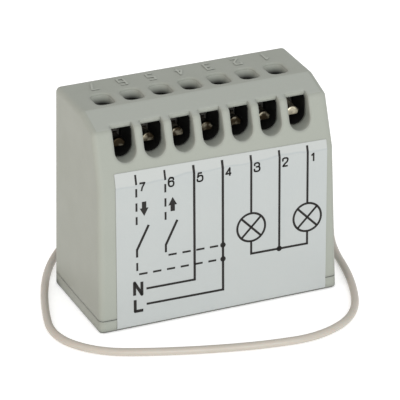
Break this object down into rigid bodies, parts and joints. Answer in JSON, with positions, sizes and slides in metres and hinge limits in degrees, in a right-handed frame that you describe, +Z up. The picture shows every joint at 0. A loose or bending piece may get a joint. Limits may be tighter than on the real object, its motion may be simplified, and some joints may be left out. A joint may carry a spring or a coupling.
{
  "type": "wireless light controller",
  "caption": "Compact radio-controlled lighting relay module: wedge-fronted plastic case, screw terminals along the top edge, wiring label on the front and a loose wire aerial.",
  "frame": {"origin": "middle of the flat underside of the case", "axes": "+Z up, +X along the terminal row towards terminal 1, the labelled front faces -Y"},
  "size_m": [0.0596, 0.0546, 0.0358],
  "materials": {
    "case_plastic": "fine matt grey moulding",
    "label_film": "printed satin film",
    "black_moulding": "black glass-filled moulding",
    "board_laminate": "green solder resist",
    "screw_steel": "zinc plated",
    "clamp_steel": "zinc plated, pressed",
    "contact_brass": "tinned brass",
    "relay_moulding": "black moulding",
    "relay_copper": "enamelled copper winding",
    "relay_iron": "nickel plated soft iron",
    "spring_copper": "copper alloy spring",
    "fuse_moulding": "brown moulding",
    "varistor_resin": "blue epoxy coat",
    "film_box": "yellow box",
    "ferrite": "sintered ferrite",
    "winding_tape": "yellow tape",
    "can_sleeve": "dark plastic sleeve",
    "chip_resin": "black resin",
    "chip_ceramic": "ceramic",
    "wire_insulation": "soft plastic insulation"
  },
  "bodies": {
    "case": {"antenna_wire": "wire_insulation", "base_cover": "case_plastic", "chip_capacitors": "chip_ceramic", "chip_resistors": "chip_resin", "crystal": "relay_iron", "film_capacitor": "film_box", "front_label": "label_film", "fuse": "fuse_moulding", "housing": "case_plastic", "input_capacitor": "can_sleeve", "main_board": "board_laminate", "microcontroller": "chip_resin", "output_capacitor": "can_sleeve", "radio_chip": "chip_resin", "rectifier": "chip_resin", "relay_1_base": "relay_moulding", "relay_1_coil": "relay_copper", "relay_1_coil_pins": "contact_brass", "relay_1_cover": "relay_moulding", "relay_1_fixed_contact": "spring_copper", "relay_1_yoke": "relay_iron", "relay_2_base": "relay_moulding", "relay_2_coil": "relay_copper", "relay_2_coil_pins": "contact_brass", "relay_2_cover": "relay_moulding", "relay_2_fixed_contact": "spring_copper", "relay_2_yoke": "relay_iron", "relay_drivers": "chip_resin", "terminal_block": "black_moulding", "terminal_contact_1": "contact_brass", "terminal_contact_2": "contact_brass", "terminal_contact_3": "contact_brass", "terminal_contact_4": "contact_brass", "terminal_contact_5": "contact_brass", "terminal_contact_6": "contact_brass", "terminal_contact_7": "contact_brass", "transformer_core": "ferrite", "transformer_winding": "winding_tape", "varistor": "varistor_resin", "voltage_regulator": "chip_resin"},
    "screw_1": {"terminal_screw_1": "screw_steel"},
    "clamp_1": {"terminal_clamp_1": "clamp_steel"},
    "screw_2": {"terminal_screw_2": "screw_steel"},
    "clamp_2": {"terminal_clamp_2": "clamp_steel"},
    "screw_3": {"terminal_screw_3": "screw_steel"},
    "clamp_3": {"terminal_clamp_3": "clamp_steel"},
    "screw_4": {"terminal_screw_4": "screw_steel"},
    "clamp_4": {"terminal_clamp_4": "clamp_steel"},
    "screw_5": {"terminal_screw_5": "screw_steel"},
    "clamp_5": {"terminal_clamp_5": "clamp_steel"},
    "screw_6": {"terminal_screw_6": "screw_steel"},
    "clamp_6": {"terminal_clamp_6": "clamp_steel"},
    "screw_7": {"terminal_screw_7": "screw_steel"},
    "clamp_7": {"terminal_clamp_7": "clamp_steel"},
    "armature_1": {"relay_1_armature": "relay_iron", "relay_1_contact_spring": "spring_copper"},
    "armature_2": {"relay_2_armature": "relay_iron", "relay_2_contact_spring": "spring_copper"}
  },
  "joints": [
    {"name": "screw_1_turn", "type": "hinge", "parent": "case", "child": "screw_1", "pos_m": [0.01524, 0.00195, 0.0343], "axis": [0, 0, -1], "range_deg": [0, 1440]},
    {"name": "clamp_1_lift", "type": "slide", "parent": "case", "child": "clamp_1", "axis": [0, 0, 1], "range_m": [0, 0.0018]},
    {"name": "screw_2_turn", "type": "hinge", "parent": "case", "child": "screw_2", "pos_m": [0.01016, 0.00195, 0.0343], "axis": [0, 0, -1], "range_deg": [0, 1440]},
    {"name": "clamp_2_lift", "type": "slide", "parent": "case", "child": "clamp_2", "axis": [0, 0, 1], "range_m": [0, 0.0018]},
    {"name": "screw_3_turn", "type": "hinge", "parent": "case", "child": "screw_3", "pos_m": [0.00508, 0.00195, 0.0343], "axis": [0, 0, -1], "range_deg": [0, 1440]},
    {"name": "clamp_3_lift", "type": "slide", "parent": "case", "child": "clamp_3", "axis": [0, 0, 1], "range_m": [0, 0.0018]},
    {"name": "screw_4_turn", "type": "hinge", "parent": "case", "child": "screw_4", "pos_m": [0, 0.00195, 0.0343], "axis": [0, 0, -1], "range_deg": [0, 1440]},
    {"name": "clamp_4_lift", "type": "slide", "parent": "case", "child": "clamp_4", "axis": [0, 0, 1], "range_m": [0, 0.0018]},
    {"name": "screw_5_turn", "type": "hinge", "parent": "case", "child": "screw_5", "pos_m": [-0.00508, 0.00195, 0.0343], "axis": [0, 0, -1], "range_deg": [0, 1440]},
    {"name": "clamp_5_lift", "type": "slide", "parent": "case", "child": "clamp_5", "axis": [0, 0, 1], "range_m": [0, 0.0018]},
    {"name": "screw_6_turn", "type": "hinge", "parent": "case", "child": "screw_6", "pos_m": [-0.01016, 0.00195, 0.0343], "axis": [0, 0, -1], "range_deg": [0, 1440]},
    {"name": "clamp_6_lift", "type": "slide", "parent": "case", "child": "clamp_6", "axis": [0, 0, 1], "range_m": [0, 0.0018]},
    {"name": "screw_7_turn", "type": "hinge", "parent": "case", "child": "screw_7", "pos_m": [-0.01524, 0.00195, 0.0343], "axis": [0, 0, -1], "range_deg": [0, 1440]},
    {"name": "clamp_7_lift", "type": "slide", "parent": "case", "child": "clamp_7", "axis": [0, 0, 1], "range_m": [0, 0.0018]},
    {"name": "relay_1_pull_in", "type": "hinge", "parent": "case", "child": "armature_1", "pos_m": [0.01275, -0.0045, 0.0181], "axis": [-1, 0, 0], "range_deg": [0, 4], "stiffness_Nm_per_rad": 0.002, "springref_deg": -2.86},
    {"name": "relay_2_pull_in", "type": "hinge", "parent": "case", "child": "armature_2", "pos_m": [0.00235, -0.0045, 0.0181], "axis": [-1, 0, 0], "range_deg": [0, 4], "stiffness_Nm_per_rad": 0.002, "springref_deg": -2.86}
  ],
  "couplings": [
    {"joint": "screw_1_turn", "follows": "clamp_1_lift", "rad_per_m": 13963},
    {"joint": "screw_2_turn", "follows": "clamp_2_lift", "rad_per_m": 13963},
    {"joint": "screw_3_turn", "follows": "clamp_3_lift", "rad_per_m": 13963},
    {"joint": "screw_4_turn", "follows": "clamp_4_lift", "rad_per_m": 13963},
    {"joint": "screw_5_turn", "follows": "clamp_5_lift", "rad_per_m": 13963},
    {"joint": "screw_6_turn", "follows": "clamp_6_lift", "rad_per_m": 13963},
    {"joint": "screw_7_turn", "follows": "clamp_7_lift", "rad_per_m": 13963}
  ]
}
